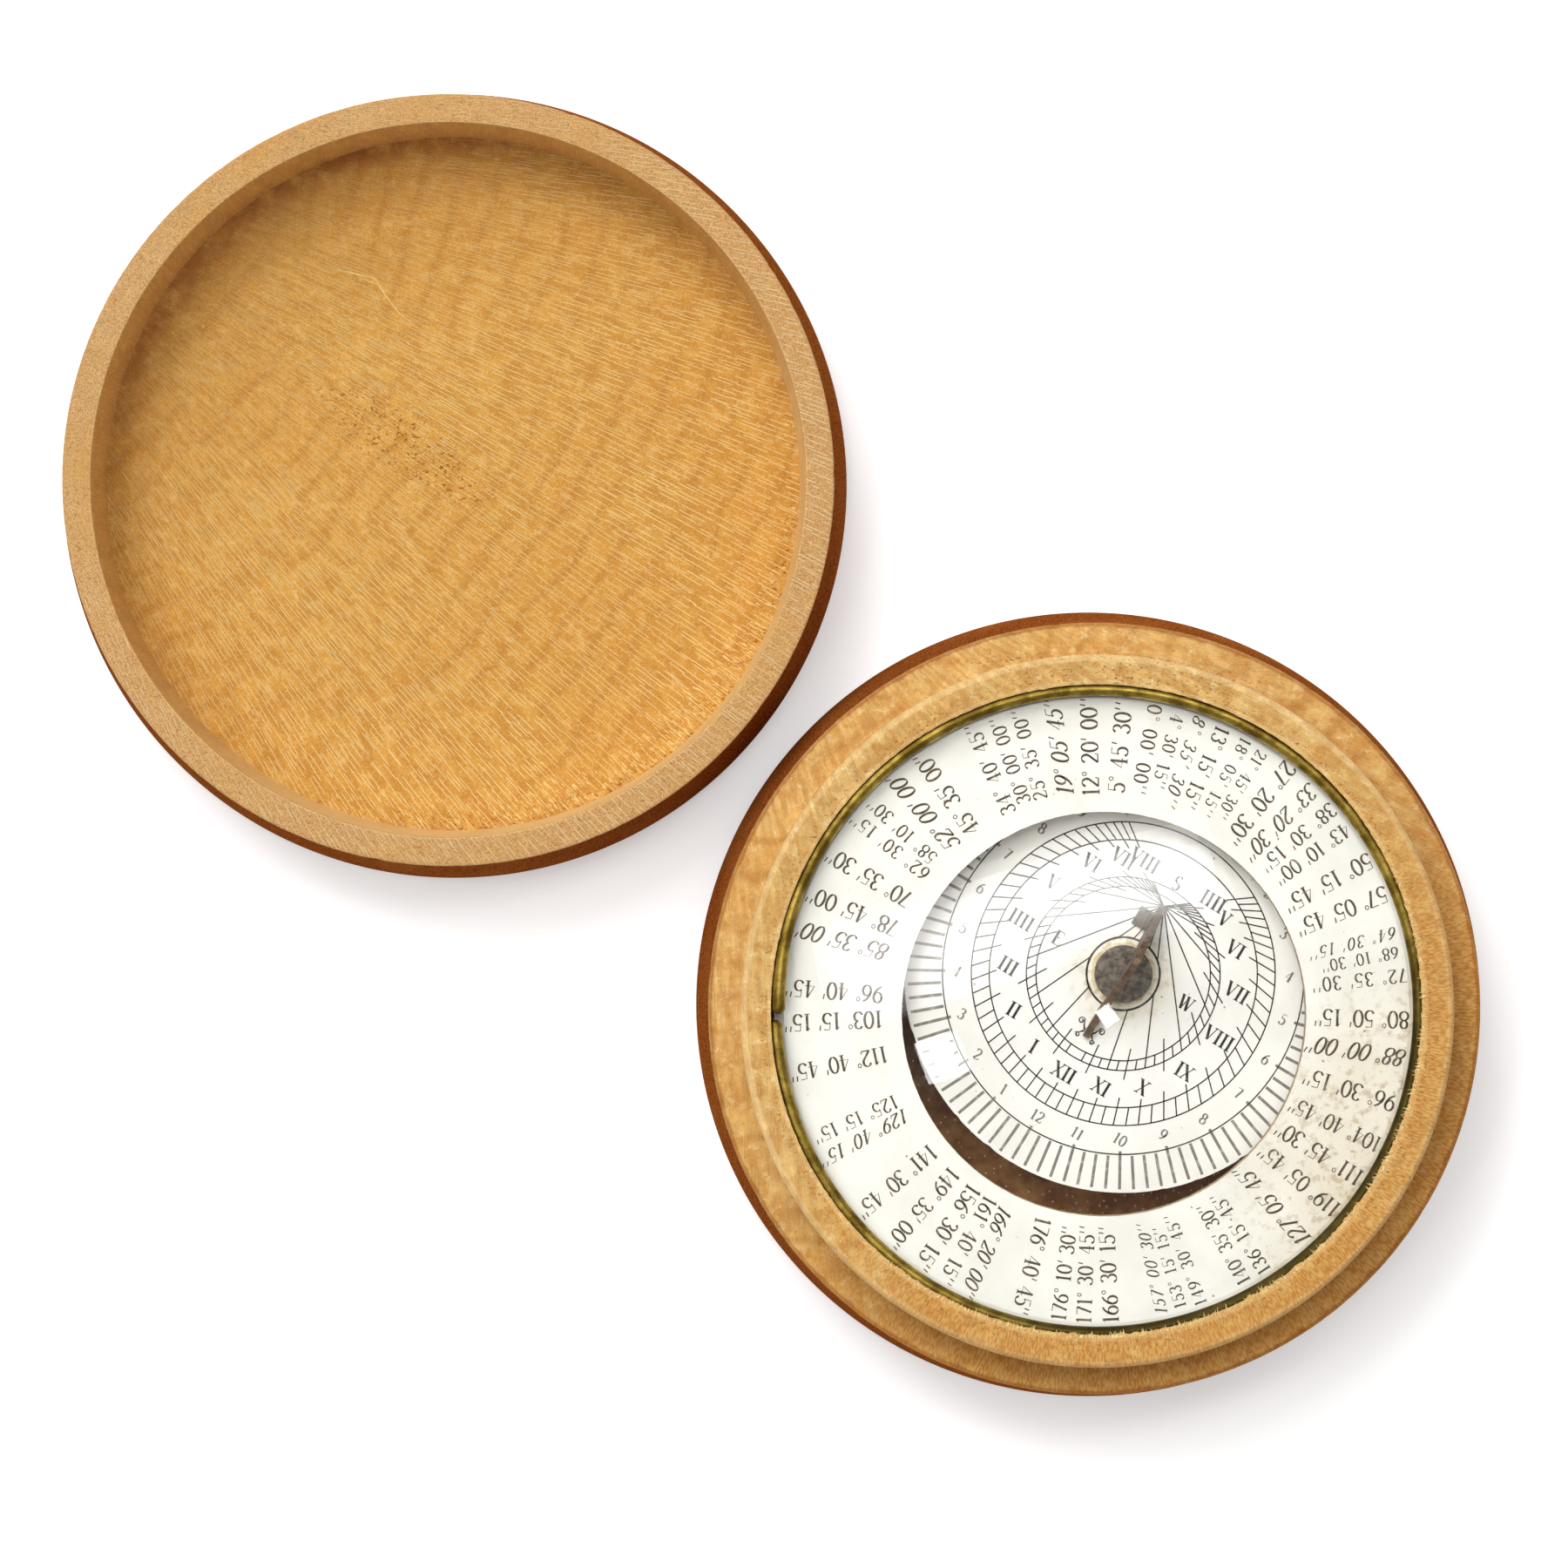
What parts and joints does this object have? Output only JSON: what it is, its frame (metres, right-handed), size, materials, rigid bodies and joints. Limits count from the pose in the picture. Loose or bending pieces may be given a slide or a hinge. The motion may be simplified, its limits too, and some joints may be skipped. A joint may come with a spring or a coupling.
{
  "type": "pantochronometer",
  "caption": "Turned wooden pocket box with a lift-off lid, a fixed figured ring under a domed glass, and a floating compass card that carries a sundial and its gnomon.",
  "frame": {"origin": "centre of the flat foot under the case, on the table", "axes": "+Z up out of the dial, +X to the right and +Y up in the pictured view from above; the lid lies upside down on the same table towards -X +Y"},
  "size_m": [0.1066, 0.098, 0.0206],
  "materials": {
    "boxwood_case": "turned boxwood, dark polished outside, paler rubbed ledge and neck",
    "boxwood_lid": "turned boxwood, dark polished outside, golden flecked inside",
    "ring_brass": "old olive brass wire",
    "cover_glass": "thin domed watch glass",
    "ring_paper": "off-white printed paper",
    "card_paper": "off-white printed paper, slightly grey",
    "pasteboard": "grey-brown pasteboard",
    "brown_lining": "dark brown lining paper",
    "inner_brass": "plain turned brass",
    "pin_steel": "hardened steel point",
    "magnet_steel": "blued magnet steel",
    "cap_brass": "browned brass cap",
    "agate": "polished agate",
    "gnomon_brass": "browned brass plate",
    "foot_brass": "dull brass",
    "sealing_wax": "red sealing wax"
  },
  "bodies": {
    "case": {"base_case": "boxwood_case", "retaining_ring": "ring_brass", "cover_glass": "cover_glass", "ring_print": "ring_paper", "ring_board": "pasteboard", "bowl_floor_lining": "brown_lining", "bowl_wall_lining": "brown_lining", "pivot_bush": "inner_brass", "pivot_pin": "pin_steel"},
    "pivot_cup": {"cap_jewel": "agate"},
    "compass_card": {"card_print": "card_paper", "card_board": "pasteboard", "pivot_cap": "cap_brass", "cap_washer": "inner_brass", "magnet_bar": "magnet_steel", "magnet_rivet_north": "inner_brass", "magnet_rivet_south": "inner_brass", "gnomon": "gnomon_brass", "gnomon_foot": "foot_brass", "balance_wax": "sealing_wax"},
    "lid": {"lid": "boxwood_lid"}
  },
  "joints": [
    {"name": "card_spin", "type": "hinge", "parent": "case", "child": "pivot_cup", "pos_m": [0.0021, 0.0026, 0.01328], "axis": [0, 0, 1], "continuous": true},
    {"name": "card_dip", "type": "hinge", "parent": "pivot_cup", "child": "compass_card", "pos_m": [0.0021, 0.0026, 0.01328], "axis": [-0.8572, 0.515, 0], "range_deg": [-2.5, 2.5]},
    {"name": "lid_close", "type": "hinge", "parent": "case", "child": "lid", "pos_m": [-0.02383, 0.0195, 0.0126], "axis": [0.6334, 0.7738, 0], "range_deg": [0, 180]}
  ]
}
